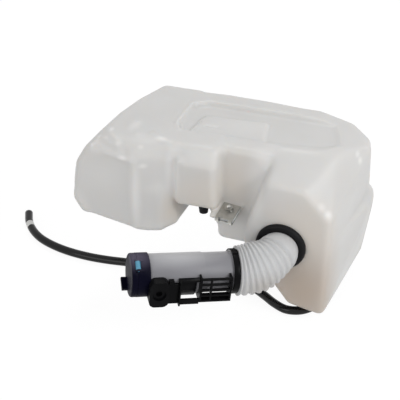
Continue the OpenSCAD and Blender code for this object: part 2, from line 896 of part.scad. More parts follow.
// Rubber hose from the pump's outlet to its free end
module washer_hose() {
    count = len(hose_route);
    dirs = [for (i = [0 : count - 1])
        unit(hose_route[min(i + 1, count - 1)] - hose_route[max(i - 1, 0)])];
    rings = [for (i = [0 : count - 1]) each ring(hose_route[i], dirs[i], hose_r, hose_sides)];
    ends = [
        [for (k = [hose_sides - 1 : -1 : 0]) k],
        [for (k = [0 : hose_sides - 1]) (count - 1) * hose_sides + k]
    ];
    color("#1a1a1c")
        polyhedron(rings, concat(skin(count, hose_sides, false), ends), convexity = 6);
}

tank();
neck_grommet();
filler_bellows();
bellows_tie();
filler_tube();
cap_collar();
cap_lid();
hinge_barrel();
cap_seal();
tube_bracket();
clip_nut();
locating_buffer();
pump_grommet();
pump_housing();
pump_cover();
pump_strainer();
washer_hose();
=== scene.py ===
"""Washer fluid reservoir: soft shell, bellows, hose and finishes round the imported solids. Metres, +Z up."""
import math

import bmesh
import bpy
import numpy as np
from mathutils import Matrix, Vector


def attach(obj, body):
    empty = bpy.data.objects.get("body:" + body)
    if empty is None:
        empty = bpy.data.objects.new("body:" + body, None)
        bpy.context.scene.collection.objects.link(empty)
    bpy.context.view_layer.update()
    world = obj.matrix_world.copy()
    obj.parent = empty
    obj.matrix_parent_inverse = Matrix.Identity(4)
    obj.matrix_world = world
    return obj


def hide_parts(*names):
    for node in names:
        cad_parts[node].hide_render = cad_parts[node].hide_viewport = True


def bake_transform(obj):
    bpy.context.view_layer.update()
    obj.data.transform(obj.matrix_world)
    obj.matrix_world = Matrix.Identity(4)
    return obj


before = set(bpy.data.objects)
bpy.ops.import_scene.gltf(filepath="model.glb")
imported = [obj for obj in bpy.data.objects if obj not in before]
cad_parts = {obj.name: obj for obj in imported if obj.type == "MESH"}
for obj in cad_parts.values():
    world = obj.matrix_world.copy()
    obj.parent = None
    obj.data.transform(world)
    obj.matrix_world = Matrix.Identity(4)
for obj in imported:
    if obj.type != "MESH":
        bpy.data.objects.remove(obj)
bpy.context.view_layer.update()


# Tank: one blow-moulded polyethylene shell with two lobes, a bridge, a recess in its top and a lug for
# the clip. The parison is blown against the mould, so every edge is soft and the wall ripples a little.
neck_at = Vector((0.075, -0.014, -0.034))
neck_hole_r = 0.028
inlet_at = Vector((0.115, 0.143, -0.104))
inlet_hole_r = 0.011
hole_slack = 0.0004
hole_reach = 0.03
weld_gap = 1e-5
shell_voxel = 0.0019
half_step = 0.5
shell_rounds = 8
blown_rounds = 40
broad_rounds = 120
ripple = 0.00022


def outer_skin(node, holes):
    """The outside of a hollow CAD node as a closed mesh: its points merged, the walls of its round holes
    taken out, the piece with the widest box kept of what is left, and the holes filled flat."""
    bm = bmesh.new()
    bm.from_mesh(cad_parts[node].data)
    bmesh.ops.remove_doubles(bm, verts=bm.verts, dist=weld_gap)
    walls = []
    for centre, radius in holes:
        for face in bm.faces:
            corners = [v.co - centre for v in face.verts]
            round_it = all(
                abs(math.hypot(c.x, c.z) - radius) < hole_slack and abs(c.y) < hole_reach for c in corners)
            if round_it and abs(face.normal.y) < 0.2:
                walls.append(face)
    bmesh.ops.delete(bm, geom=walls, context="FACES")
    best, widest = set(), 0.0
    left = set(bm.faces)
    while left:
        group, edge = set(), [left.pop()]
        while edge:
            face = edge.pop()
            group.add(face)
            near = {g for e in face.edges for g in e.link_faces} & left
            left -= near
            edge.extend(near)
        span = np.ptp([v.co for f in group for v in f.verts], axis=0).sum()
        if span > widest:
            best, widest = group, span
    bmesh.ops.delete(bm, geom=[f for f in bm.faces if f not in best], context="FACES")
    bmesh.ops.holes_fill(bm, edges=[e for e in bm.edges if e.is_boundary], sides=0)
    bmesh.ops.triangulate(bm, faces=bm.faces)
    mesh = bpy.data.meshes.new(node + "_skin")
    bm.to_mesh(mesh)
    bm.free()
    return mesh


def remeshed(mesh, voxel):
    """The same closed form on an even grid of small quads."""
    holder = bpy.data.objects.new("remesh_holder", mesh)
    bpy.context.collection.objects.link(holder)
    step = holder.modifiers.new("grid", "REMESH")
    step.mode = "VOXEL"
    step.voxel_size = voxel
    even = bpy.data.meshes.new_from_object(holder.evaluated_get(bpy.context.evaluated_depsgraph_get()))
    bpy.data.objects.remove(holder)
    return even


def near_box(points, low, high, soft):
    """1 inside a box, falling smoothly to 0 at a distance soft outside it, for every point."""
    out = np.maximum(np.maximum(np.array(low) - points, points - np.array(high)), 0.0)
    t = np.clip(1 - np.linalg.norm(out, axis=1) / soft, 0, 1)
    return t * t * (3 - 2 * t)


def relaxed(mesh, ease, rounds):
    """Points drawn towards the mean of their neighbours, by each point's own ease, for some rounds."""
    count = len(mesh.vertices)
    points = np.empty(count * 3)
    mesh.vertices.foreach_get("co", points)
    points = points.reshape(-1, 3)
    edges = np.empty(len(mesh.edges) * 2, dtype=int)
    mesh.edges.foreach_get("vertices", edges)
    a, b = edges.reshape(-1, 2).T
    degree = np.bincount(a, minlength=count) + np.bincount(b, minlength=count)
    amount = ease(points)[:, None]
    for _ in range(rounds):
        total = np.stack([
            np.bincount(a, points[b, k], count) + np.bincount(b, points[a, k], count) for k in range(3)
        ], axis=1)
        points += amount * (total / degree[:, None] - points)
    mesh.vertices.foreach_set("co", points.ravel())
    mesh.update()
    return points


def shell_ease(points):
    """Half a step everywhere, less on the top's recess and pad, and almost none on the thin lug."""
    lug = near_box(points, (-0.025, -0.026, -0.018), (0.016, 0.012, 0.002), 0.006)
    recess = near_box(points, (-0.1, 0.03, 0.07), (0.12, 0.135, 0.09), 0.008)
    return half_step * (1 - 0.97 * lug) * (1 - 0.6 * recess)


# Softest places of the blown shell: the ledge over the shallow lobe's foot, that lobe's upper front edge, the
# corner between the groove and the deep lobe, the deep lobe's shoulder, its upper edge, the groove's rim and
# the block's upper edge. Low and high corner of a box, and how far the softness reaches past it, metres
blown_places = (
    ((-0.108, -0.03, 0.012), (-0.072, 0.0, 0.034), 0.014),
    ((-0.185, -0.03, 0.06), (-0.1, -0.005, 0.09), 0.02),
    ((0.036, 0.0, 0.03), (0.058, 0.03, 0.08), 0.014),
    ((0.1, -0.004, 0.054), (0.13, 0.036, 0.08), 0.014),
    ((0.06, 0.02, 0.07), (0.13, 0.036, 0.09), 0.014),
    ((0.02, -0.018, -0.04), (0.058, -0.004, 0.055), 0.01),
    ((-0.1, -0.012, 0.072), (-0.02, 0.02, 0.09), 0.014),
)


# Broadly drawn edges, as boxes too: the deep lobe's shoulder, the rear corner of its bulge, its upper edge
# and the shallow lobe's upper edge
broad_places = (
    ((0.102, 0.006, 0.058), (0.135, 0.045, 0.082), 0.016),
    ((0.158, 0.1, -0.02), (0.175, 0.145, -0.004), 0.014),
    ((0.06, 0.03, 0.074), (0.13, 0.045, 0.09), 0.014),
    ((-0.165, -0.012, 0.076), (-0.085, 0.008, 0.09), 0.014),
)


def place_ease(points, places):
    """Half a step inside any of the boxes, fading smoothly to none around them."""
    return half_step * np.max([near_box(points, *place) for place in places], axis=0)


def off_line(points, start, stop):
    """Distance of every point from a straight line between two places."""
    start, stop = np.array(start), np.array(stop)
    along = stop - start
    t = np.clip((points - start) @ along / (along @ along), 0, 1)
    return np.linalg.norm(points - start - t[:, None] * along, axis=1)


# Creases and swellings of the shallow lobe's upper corner, ridge and lower corners and of the block's left
# edge, and the beads round the recess and the groove: start, end, width and height, metres
shell_creases = (
    ((-0.176, -0.012, 0.078), (-0.152, -0.021, 0.0755), 0.005, -0.0012),
    ((-0.163, -0.01, 0.082), (-0.135, -0.0225, 0.0736), 0.005, -0.0013),
    ((-0.172, -0.007, 0.081), (-0.144, -0.02, 0.077), 0.004, 0.0014),
    ((-0.183, -0.024, 0.071), (-0.179, -0.012, 0.077), 0.004, 0.0012),
    ((-0.172, 0.013, 0.083), (-0.152, -0.012, 0.0825), 0.005, 0.0013),
    ((-0.162, -0.0255, 0.07), (-0.131, -0.026, 0.064), 0.005, 0.0014),
    ((-0.144, 0.034, 0.084), (-0.13, 0.012, 0.084), 0.009, 0.0014),
    ((-0.108, 0.018, 0.084), (-0.088, 0.004, 0.083), 0.006, 0.0013),
    ((-0.122, -0.026, 0.06), (-0.123, -0.026, -0.04), 0.005, 0.0014),
    ((-0.206, -0.025, -0.006), (-0.196, -0.025, -0.025), 0.008, 0.0026),
    ((-0.108, -0.0226, -0.0405), (-0.092, -0.018, -0.0395), 0.008, 0.0015),
    ((-0.087, -0.0135, -0.037), (-0.076, -0.0005, -0.0365), 0.007, 0.0012),
    ((-0.0665, -0.004, 0.062), (-0.0675, -0.004, 0.004), 0.0065, 0.005),
    ((-0.082, 0.038, 0.084), (-0.0905, 0.0555, 0.084), 0.0026, 0.0009),
    ((-0.0905, 0.0555, 0.084), (-0.088, 0.112, 0.084), 0.0026, 0.0009),
    ((-0.088, 0.112, 0.084), (-0.067, 0.1255, 0.084), 0.0026, 0.0009),
    ((-0.067, 0.1255, 0.084), (0.06, 0.1255, 0.084), 0.0026, 0.0008),
    ((-0.0196, -0.0013, 0.083), (-0.0155, 0.0135, 0.083), 0.003, 0.0009),
    ((-0.0155, 0.0135, 0.083), (0.0004, 0.0195, 0.083), 0.003, 0.0009),
    ((0.0004, 0.0195, 0.083), (0.0365, 0.0195, 0.082), 0.003, 0.0009),
    ((0.0365, 0.0195, 0.082), (0.05, 0.026, 0.076), 0.003, 0.0009),
)


def add_piece(name, mesh, smooth=True):
    """An object for a mesh, at the origin, with smooth or flat faces."""
    mesh.name = name
    mesh.polygons.foreach_set("use_smooth", np.full(len(mesh.polygons), smooth))
    piece = bpy.data.objects.new(name, mesh)
    bpy.context.collection.objects.link(piece)
    return piece


skin = remeshed(outer_skin("tank", [(neck_at, neck_hole_r), (inlet_at, inlet_hole_r)]), shell_voxel)
relaxed(skin, shell_ease, shell_rounds)
relaxed(skin, lambda points: place_ease(points, blown_places), blown_rounds)
shell_points = relaxed(skin, lambda points: place_ease(points, broad_places), broad_rounds)
normals = np.empty(len(skin.vertices) * 3)
skin.vertices.foreach_get("normal", normals)
x, y, z = shell_points.T
lift = ripple * (np.sin(61 * x + 23 * y) * np.sin(47 * z - 19 * x) + 0.7 * np.sin(37 * y + 53 * z + 1.3))
for start, stop, width, height in shell_creases:
    lift += height * np.exp(-(off_line(shell_points, start, stop) / width) ** 2)
shell_points += lift[:, None] * normals.reshape(-1, 3)
skin.vertices.foreach_set("co", shell_points.ravel())
tank = add_piece("tank_shell", skin)


def node_group(name, inputs, outputs):
    """A new shader node group with named sockets, and its input and output nodes."""
    group = bpy.data.node_groups.new(name, "ShaderNodeTree")
    for label, kind, value in inputs:
        group.interface.new_socket(label, in_out="INPUT", socket_type=kind).default_value = value
    for label, kind in outputs:
        group.interface.new_socket(label, in_out="OUTPUT", socket_type=kind)
    return group, group.nodes.new("NodeGroupInput"), group.nodes.new("NodeGroupOutput")


# Moulded surface, for every plastic and rubber and for the plated steel: fine grain as a bump, and slow
# clouds that vary tone and gloss
moulded_surface, given, result = node_group(
    "moulded_surface",
    [("Grain", "NodeSocketFloat", 900.0), ("Depth", "NodeSocketFloat", 0.1),
     ("Clouds", "NodeSocketFloat", 14.0), ("Gloss", "NodeSocketFloat", 0.35),
     ("Matt", "NodeSocketFloat", 0.5)],
    [("Tone", "NodeSocketFloat"), ("Roughness", "NodeSocketFloat"), ("Normal", "NodeSocketVector")])
nodes, wire = moulded_surface.nodes, moulded_surface.links.new
place = nodes.new("ShaderNodeTexCoord")
grain = nodes.new("ShaderNodeTexNoise")
grain.inputs["Detail"].default_value = 3
clouds = nodes.new("ShaderNodeTexNoise")
clouds.inputs["Detail"].default_value = 5
spread = nodes.new("ShaderNodeMapRange")
spread.inputs["From Min"].default_value = 0.32
spread.inputs["From Max"].default_value = 0.68
gloss = nodes.new("ShaderNodeMapRange")
bump = nodes.new("ShaderNodeBump")
bump.inputs["Distance"].default_value = 0.0004
wire(place.outputs["Object"], grain.inputs["Vector"])
wire(place.outputs["Object"], clouds.inputs["Vector"])
wire(given.outputs["Grain"], grain.inputs["Scale"])
wire(given.outputs["Clouds"], clouds.inputs["Scale"])
wire(given.outputs["Depth"], bump.inputs["Strength"])
wire(grain.outputs["Fac"], bump.inputs["Height"])
wire(clouds.outputs["Fac"], spread.inputs["Value"])
wire(spread.outputs["Result"], gloss.inputs["Value"])
wire(given.outputs["Gloss"], gloss.inputs["To Min"])
wire(given.outputs["Matt"], gloss.inputs["To Max"])
wire(spread.outputs["Result"], result.inputs["Tone"])
wire(gloss.outputs["Result"], result.inputs["Roughness"])
wire(bump.outputs["Normal"], result.inputs["Normal"])

# Soft spot: a mask that is 1 at a place on the piece and fades out over a reach along each axis
soft_spot, given, result = node_group(
    "soft_spot",
    [("Centre", "NodeSocketVector", (0, 0, 0)), ("Reach", "NodeSocketVector", (1, 1, 1))],
    [("Mask", "NodeSocketFloat")])
nodes, wire = soft_spot.nodes, soft_spot.links.new
place = nodes.new("ShaderNodeTexCoord")
offset = nodes.new("ShaderNodeVectorMath")
offset.operation = "SUBTRACT"
shares = nodes.new("ShaderNodeVectorMath")
shares.operation = "DIVIDE"
distance = nodes.new("ShaderNodeVectorMath")
distance.operation = "LENGTH"
fade = nodes.new("ShaderNodeMapRange")
fade.interpolation_type = "SMOOTHSTEP"
fade.inputs["To Min"].default_value = 1
fade.inputs["To Max"].default_value = 0
wire(place.outputs["Object"], offset.inputs[0])
wire(given.outputs["Centre"], offset.inputs[1])
wire(offset.outputs["Vector"], shares.inputs[0])
wire(given.outputs["Reach"], shares.inputs[1])
wire(shares.outputs["Vector"], distance.inputs[0])
wire(distance.outputs["Value"], fade.inputs["Value"])
wire(fade.outputs["Result"], result.inputs["Mask"])


def moulded(name, colour, cloudy, grain, depth, gloss, matt, clouds=14.0, specular=0.5):
    """A material on the moulded surface: its colour, the colour of its cloudy places, its grain, its gloss
    and how strongly it mirrors. Returns the material, its shader and the mix that feeds the base colour."""
    material = bpy.data.materials.new(name)
    material.use_nodes = True
    tree = material.node_tree
    shader = tree.nodes["Principled BSDF"]
    surface = tree.nodes.new("ShaderNodeGroup")
    surface.node_tree = moulded_surface
    shader.inputs["Specular IOR Level"].default_value = specular
    for label, value in (
            ("Grain", grain), ("Depth", depth), ("Clouds", clouds), ("Gloss", gloss), ("Matt", matt)):
        surface.inputs[label].default_value = value
    tint = tree.nodes.new("ShaderNodeMix")
    tint.data_type = "RGBA"
    tint.inputs["A"].default_value = (*colour, 1)
    tint.inputs["B"].default_value = (*cloudy, 1)
    tree.links.new(surface.outputs["Tone"], tint.inputs["Factor"])
    tree.links.new(tint.outputs["Result"], shader.inputs["Base Color"])
    tree.links.new(surface.outputs["Roughness"], shader.inputs["Roughness"])
    tree.links.new(surface.outputs["Normal"], shader.inputs["Normal"])
    return material, shader, tint


def shade_spots(material, shader, tint, spots):
    """Mixes colours over the base at soft spots, each a colour, a centre, a reach and a strength: towards the
    spot's colour by its mask times its strength, one spot over the other."""
    tree = material.node_tree
    below = tint.outputs["Result"]
    for colour, centre, reach, strength in spots:
        spot = tree.nodes.new("ShaderNodeGroup")
        spot.node_tree = soft_spot
        spot.inputs["Centre"].default_value = centre
        spot.inputs["Reach"].default_value = reach
        share = tree.nodes.new("ShaderNodeMath")
        share.operation = "MULTIPLY"
        share.inputs[1].default_value = strength
        over = tree.nodes.new("ShaderNodeMix")
        over.data_type = "RGBA"
        over.inputs["B"].default_value = (*colour, 1)
        tree.links.new(spot.outputs["Mask"], share.inputs[0])
        tree.links.new(share.outputs["Value"], over.inputs["Factor"])
        tree.links.new(below, over.inputs["A"])
        below = over.outputs["Result"]
    tree.links.new(below, shader.inputs["Base Color"])


milky, shader, tint = moulded(
    "milky_shell", (0.7, 0.695, 0.685), (0.675, 0.668, 0.655), 420, 0.04, 0.34, 0.44, specular=0.32)
shader.inputs["Subsurface Weight"].default_value = 0.5
shader.inputs["Subsurface Radius"].default_value = (1.0, 0.85, 0.7)
shader.inputs["Subsurface Scale"].default_value = 0.02

# Painted shade and light on the milky plastic: warm painted shade low on the deep lobe's front and in the
# groove, a warm tone painted into the shade of the groove, the block and the valley, and lighter paint that
# lifts the darker places (the shallow lobe's front, the block, the valley, the pad, the sump under the lug,
# the groove's edges) and paints glints along the shallow lobe's upper corner and the deep lobe's edges
painted_warm_shade = (0.5, 0.415, 0.34)
painted_light = (0.86, 0.85, 0.835)
painted_warm_tone_in_shade = (0.76, 0.7, 0.625)
shade_spots(milky, shader, tint, [
    (painted_warm_shade, (0.105, -0.014, -0.1), (0.1, 0.05, 0.13), 0.9),
    (painted_warm_shade, (0.095, -0.014, 0.0), (0.07, 0.04, 0.07), 0.2),
    (painted_warm_shade, (0.005, 0.015, 0.03), (0.05, 0.03, 0.07), 0.2),
    (painted_warm_tone_in_shade, (0.1, -0.014, -0.005), (0.075, 0.03, 0.08), 0.5),
    (painted_warm_tone_in_shade, (0.0, 0.015, 0.03), (0.05, 0.03, 0.08), 0.45),
    (painted_warm_tone_in_shade, (-0.035, -0.01, 0.01), (0.06, 0.03, 0.07), 0.6),
    (painted_warm_tone_in_shade, (-0.078, 0.005, -0.015), (0.025, 0.05, 0.045), 0.8),
    (painted_light, (0.04, -0.006, 0.02), (0.016, 0.02, 0.06), 0.6),
    (painted_light, (-0.17, -0.026, 0.03), (0.06, 0.02, 0.05), 0.3),
    (painted_light, (-0.122, -0.026, 0.01), (0.012, 0.02, 0.075), 0.7),
    (painted_light, (-0.04, -0.006, 0.07), (0.045, 0.02, 0.02), 0.3),
    (painted_light, (-0.075, -0.002, 0.045), (0.016, 0.02, 0.06), 0.9),
    (painted_light, (0.0, 0.08, 0.084), (0.06, 0.04, 0.012), 0.25),
    (painted_light, (-0.003, 0.015, -0.047), (0.06, 0.04, 0.05), 1.0),
    (painted_light, (0.035, 0.018, 0.04), (0.025, 0.025, 0.06), 0.5),
    (painted_light, (-0.182, -0.019, 0.0745), (0.005, 0.006, 0.004), 0.7),
    (painted_light, (-0.178, -0.005, 0.0795), (0.005, 0.007, 0.004), 0.7),
    (painted_light, (-0.166, 0.0105, 0.0835), (0.005, 0.009, 0.004), 0.7),
    (painted_light, (-0.1465, -0.015, 0.0805), (0.007, 0.009, 0.005), 0.7),
    (painted_light, (-0.14, 0.028, 0.084), (0.011, 0.024, 0.004), 0.6),
    (painted_light, (-0.1165, -0.014, 0.08), (0.007, 0.007, 0.005), 0.7),
    (painted_light, (-0.138, -0.026, 0.066), (0.01, 0.006, 0.005), 0.8),
    (painted_light, (-0.111, -0.022, 0.0565), (0.01, 0.008, 0.006), 0.7),
    (painted_light, (-0.096, 0.008, 0.084), (0.013, 0.008, 0.004), 0.7),
    (painted_light, (0.1515, 0.0685, 0.072), (0.0045, 0.008, 0.0075), 0.7),
    (painted_light, (0.1555, 0.0675, 0.0635), (0.0045, 0.008, 0.008), 0.8),
    (painted_light, (0.1245, -0.0085, 0.0325), (0.009, 0.008, 0.009), 0.5),
    (painted_light, (0.1335, -0.0085, 0.0225), (0.009, 0.008, 0.009), 0.8),
])
tank.data.materials.append(milky)
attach(tank, "reservoir")
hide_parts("tank")


# Neck grommet, locating buffer and pump grommet: black moulded rubber, pressed into or over the shell.
# Their CAD solids stay, with the welded edges rounded a little.
edge_segments = 2
edge_angle = math.radians(35)


def rounded(node, material, width):
    """A CAD node kept in place: its triangles welded, its sharp edges rounded, and its material set."""
    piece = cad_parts[node]
    weld = piece.modifiers.new("weld", "WELD")
    weld.merge_threshold = weld_gap
    bevel = piece.modifiers.new("rounding", "BEVEL")
    bevel.width = width
    bevel.segments = edge_segments
    bevel.limit_method = "ANGLE"
    bevel.angle_limit = edge_angle
    bevel.harden_normals = True
    piece.data.materials.clear()
    piece.data.materials.append(material)


black_rubber, _, _ = moulded(
    "black_rubber", (0.009, 0.009, 0.01), (0.016, 0.016, 0.017), 1100, 0.25, 0.34, 0.5, specular=0.07)
for node, width in (("neck_grommet", 0.0008), ("locating_buffer", 0.0007), ("pump_grommet", 0.0006)):
    rounded(node, black_rubber, width)


# Filler bellows: a milky corrugated neck, blown in one piece, with a smooth dome next to the grommet and a
# plain cuff under the tie, swept along a bend from the neck to the tube.
spigot_r = 0.023
spigot_in = 0.009
grommet_out = 0.0061
dome_r = 0.0275
dome_start_r = 0.025
dome_share = 0.15
belly_r = 0.034
belly_share = 0.6
last_crest_r = 0.0325
cuff_r = 0.02742
cuff_len = 0.005
cuff_past = 0.0035
bellows_wall = 0.0016
bellows_sides = 72
dome_rings = 12
folds = 9
fold_rings = 14
fold_depth = 0.0025
fold_sharpness = 1.4
neck_stub = 0.007
bend_reach = 0.026
tie_at = np.array((0.0265, -0.072, -0.045))
tube_turn, tube_rise = math.radians(210), math.radians(6)
tube_dir = np.array((
    math.cos(tube_turn) * math.cos(tube_rise),
    math.sin(tube_turn) * math.cos(tube_rise),
    math.sin(tube_rise)))


def eased(t):
    """A share from 0 to 1 that starts and ends gently, and stays there outside."""
    t = np.clip(t, 0, 1)
    return t * t * (3 - 2 * t)


def cubic(handles, t):
    """Points and unit directions of a cubic curve with four handles at the shares t."""
    p0, p1, p2, p3 = handles
    t = t[:, None]
    points = p0 * (1 - t) ** 3 + 3 * p1 * t * (1 - t) ** 2 + 3 * p2 * t ** 2 * (1 - t) + p3 * t ** 3
    along = (p1 - p0) * (1 - t) ** 2 + 2 * (p2 - p1) * t * (1 - t) + (p3 - p2) * t ** 2
    return points, along / np.linalg.norm(along, axis=1, keepdims=True)


def rings(points, along, radii, sides):
    """A circle of the given radius round each point, square to its direction, as rows of points."""
    side = np.cross(along, (0, 0, 1))
    side /= np.linalg.norm(side, axis=1, keepdims=True)
    up = np.cross(side, along)
    turn = 2 * np.pi * np.arange(sides) / sides
    spokes = np.cos(turn)[None, :, None] * side[:, None] + np.sin(turn)[None, :, None] * up[:, None]
    return points[:, None] + radii[:, None, None] * spokes


def skinned(name, rows, closed):
    """Quads between neighbouring rows of points, each row a loop; a closed list joins its last row to its
    first, and an open one gets a flat face at both ends."""
    count, sides = rows.shape[:2]
    i, k = np.meshgrid(np.arange(count if closed else count - 1), np.arange(sides), indexing="ij")
    j, m = (i + 1) % count, (k + 1) % sides
    quads = np.stack([i * sides + k, j * sides + k, j * sides + m, i * sides + m], axis=-1).reshape(-1, 4)
    faces = quads.tolist()
    if not closed:
        faces.append(list(range(sides)))
        faces.append(list(range((count - 1) * sides, count * sides))[::-1])
    mesh = bpy.data.meshes.new(name)
    mesh.from_pydata(rows.reshape(-1, 3), [], faces)
    return mesh


neck = np.array(neck_at)
straight = np.array((0.0, -1.0, 0.0))
neck_out = neck + neck_stub * straight
cuff_at = tie_at - cuff_len * tube_dir
bend = (neck_out, neck_out + bend_reach * straight, cuff_at - bend_reach * tube_dir, cuff_at)
dome_t = np.linspace(0, dome_share, dome_rings, endpoint=False)
dome_radii = dome_start_r + (dome_r - dome_start_r) * np.sin(0.5 * np.pi * dome_t / dome_share)
fold_u = np.linspace(0, 1, folds * fold_rings, endpoint=False)
crest = np.where(
    fold_u < belly_share,
    dome_r + (belly_r - dome_r) * eased(fold_u / belly_share),
    belly_r + (last_crest_r - belly_r) * eased((fold_u - belly_share) / (1 - belly_share)))
fold_radii = crest - fold_depth * (0.5 - 0.5 * np.cos(2 * np.pi * folds * fold_u)) ** fold_sharpness
middle, middle_along = cubic(bend, np.concatenate([dome_t, dome_share + (1 - dome_share) * fold_u]))
spigot_points = np.array([neck - spigot_in * straight, neck + grommet_out * straight])
cuff_points = np.array([cuff_at + s * tube_dir for s in np.linspace(0, cuff_len + cuff_past, 5)])
bellows_points = np.concatenate([spigot_points, middle, cuff_points])
bellows_along = np.concatenate([
    np.tile(straight, (2, 1)), middle_along, np.tile(tube_dir, (len(cuff_points), 1))])
bellows_radii = np.concatenate([
    np.full(2, spigot_r), dome_radii, fold_radii, np.full(len(cuff_points), cuff_r)])
outside = rings(bellows_points, bellows_along, bellows_radii, bellows_sides)
inside = rings(bellows_points, bellows_along, bellows_radii - bellows_wall, bellows_sides)
bellows = add_piece("bellows_neck", skinned("bellows_neck", np.concatenate([outside, inside[::-1]]), True))
milky_neck, shader, tint = moulded(
    "milky_neck", (0.61, 0.61, 0.613), (0.58, 0.58, 0.583), 700, 0.06, 0.36, 0.5, clouds=30.0, specular=0.3)
shader.inputs["Subsurface Weight"].default_value = 0.25
shader.inputs["Subsurface Radius"].default_value = (1.0, 0.9, 0.8)
shader.inputs["Subsurface Scale"].default_value = 0.006
# Painted shade: the bellows' lower side darker, where shade falls below it
shade_spots(milky_neck, shader, tint, [
    ((0.46, 0.445, 0.43), (0.045, -0.06, -0.085), (0.06, 0.06, 0.04), 0.7),
    ((0.5, 0.475, 0.45), (0.072, -0.082, -0.055), (0.035, 0.035, 0.03), 0.9),
])
bellows.data.materials.append(milky_neck)
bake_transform(bellows)
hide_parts("filler_bellows")


# Tie: a black nylon band pulled tight round the bellows' cuff, with its latch on top. It holds the cuff on
# the tube's end.
tie_nylon, _, _ = moulded(
    "tie_nylon", (0.004, 0.004, 0.0045), (0.008, 0.008, 0.009), 1300, 0.12, 0.28, 0.42, specular=0.05)
rounded("bellows_tie", tie_nylon, 0.0004)


# Filler tube: a lilac-grey extruded polyethylene pipe, a little wider past its step. The bellows' cuff is
# tied over one end, and the cap's collar sits on the other.
tube_plastic, shader, tint = moulded(
    "tube_plastic", (0.23, 0.229, 0.248), (0.215, 0.214, 0.232), 650, 0.08, 0.44, 0.54, clouds=22.0,
    specular=0.35)
shader.inputs["Sheen Weight"].default_value = 0.7
shader.inputs["Sheen Roughness"].default_value = 0.5
# Painted highlight: the top of the tube lighter, where light from above falls on it
shade_spots(tube_plastic, shader, tint, [
    ((0.6, 0.6, 0.62), (-0.021, -0.099, -0.004), (0.1, 0.07, 0.0185), 0.9),
])
rounded("filler_tube", tube_plastic, 0.0006)


# Cap: a dark navy collar on the tube's mouth, its flip lid, the light blue hinge barrel and a rubber seal
# inside. All are injection moulded, with a fine spark grain on the navy.
navy, shader, tint = moulded(
    "navy_plastic", (0.0025, 0.0025, 0.009), (0.0045, 0.0045, 0.013), 1500, 0.2, 0.3, 0.42, specular=0.02)
# Painted highlight: the top of the cap lighter, where light from above falls on it
shade_spots(navy, shader, tint, [
    ((0.13, 0.12, 0.17), (-0.081, -0.134, 0.003), (0.04, 0.04, 0.024), 0.9),
])
rounded("cap_collar", navy, 0.0006)
rounded("cap_lid", navy, 0.0007)
sky_blue, _, _ = moulded("sky_blue_plastic", (0.095, 0.32, 0.47), (0.085, 0.29, 0.43), 1500, 0.1, 0.3, 0.4)
rounded("hinge_barrel", sky_blue, 0.0004)
rounded("cap_seal", black_rubber, 0.0005)


# Bracket: black glass-filled nylon, moulded with slots, an open window, a fin and a bolt block. It sits on
# the front of the tube, with the block next to the cap.
black_nylon, _, _ = moulded(
    "black_nylon", (0.003, 0.003, 0.0035), (0.006, 0.006, 0.007), 1000, 0.35, 0.28, 0.42, specular=0.05)
rounded("tube_bracket", black_nylon, 0.0006)


# Clip nut: pressed spring steel, zinc plated, folded over the lug. Its collar is drawn up and tapped, and the
# thread is a ridge wound inside it.
thread_root = 0.0034
thread_depth = 0.0005
thread_pitch = 0.00125
thread_turns = 4
lug_tilt = math.radians(15)
lug_turn = math.radians(9)
wound = np.linspace(0, thread_turns * 2 * np.pi, thread_turns * 40)
profile_out = thread_root - np.array((0.0, thread_depth, 0.0))
profile_up = thread_pitch * np.array((0.45, 0.0, -0.45))
rise = thread_pitch * (wound / (2 * np.pi) - thread_turns / 2)[:, None] + profile_up[None]
thread = np.stack([np.cos(wound)[:, None] * profile_out, np.sin(wound)[:, None] * profile_out, rise], axis=-1)
lean = np.array(Matrix.Rotation(-lug_turn, 3, "Z") @ Matrix.Rotation(lug_tilt, 3, "X"))
thread_piece = add_piece("clip_thread_ridge", skinned("clip_thread_ridge", thread @ lean.T, False), False)

zinc, shader, _ = moulded(
    "zinc_plate", (0.47, 0.465, 0.44), (0.35, 0.345, 0.32), 1600, 0.12, 0.34, 0.5, clouds=160)
shader.inputs["Metallic"].default_value = 1.0
rounded("clip_nut", zinc, 0.0003)
thread_piece.data.materials.append(zinc)
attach(thread_piece, "reservoir")


# Feed pump behind the deep lobe: a black moulded housing with a socketed cover. Its inlet is pressed through
# the pump grommet, and a pale strainer covers it inside the tank.
pump_black, _, _ = moulded(
    "pump_black", (0.012, 0.012, 0.014), (0.02, 0.02, 0.023), 1200, 0.15, 0.36, 0.5, specular=0.3)
rounded("pump_housing", pump_black, 0.0006)
rounded("pump_cover", pump_black, 0.0004)
strainer_white, _, _ = moulded("strainer_white", (0.62, 0.62, 0.6), (0.58, 0.58, 0.55), 1200, 0.1, 0.4, 0.5)
rounded("pump_strainer", strainer_white, 0.0003)


# Delivery hose: black rubber, from the pump's outlet under the deep lobe to a bare end at the left, with a
# painted white band near it. It lies on the surface that the pump's foot stands on.
hose_r = 0.006
hose_bore_r = 0.0034
hose_rim_r = 0.96 * hose_r
bore_depth = 0.02
hose_level = -0.148
hose_sides = 28
hose_steps = 8
band_far = 0.04
band_near = 0.028
band_fade = 0.0008
hose_plan = np.array((
    (115, 146), (115, 125), (118, 98), (122, 72), (124, 46), (119, 21), (104, 4), (84, -1), (65, 7), (48, 19),
    (29, 31), (5, 40), (-25, 45), (-65, 44), (-105, 40), (-140, 35), (-165, 32), (-190, 29), (-217, 28),
    (-245, 30), (-270, 35), (-293, 43), (-311, 53), (-327, 67), (-340, 84), (-350, 104))) / 1000


def through(points, steps):
    """A smooth curve through the points: between two of them, the cubic whose ends lean along the chords of
    their neighbours."""
    ends = np.concatenate([2 * points[:1] - points[1:2], points, 2 * points[-1:] - points[-2:-1]])
    t = np.linspace(0, 1, steps, endpoint=False)[None, :, None]
    before, start, stop, after = (ends[k:len(ends) - 3 + k, None] for k in range(4))
    curve = start + 0.5 * t * (stop - before + t * (
        2 * before - 5 * start + 4 * stop - after + t * (3 * (start - stop) + after - before)))
    return np.concatenate([curve.reshape(-1, points.shape[1]), points[-1:]])


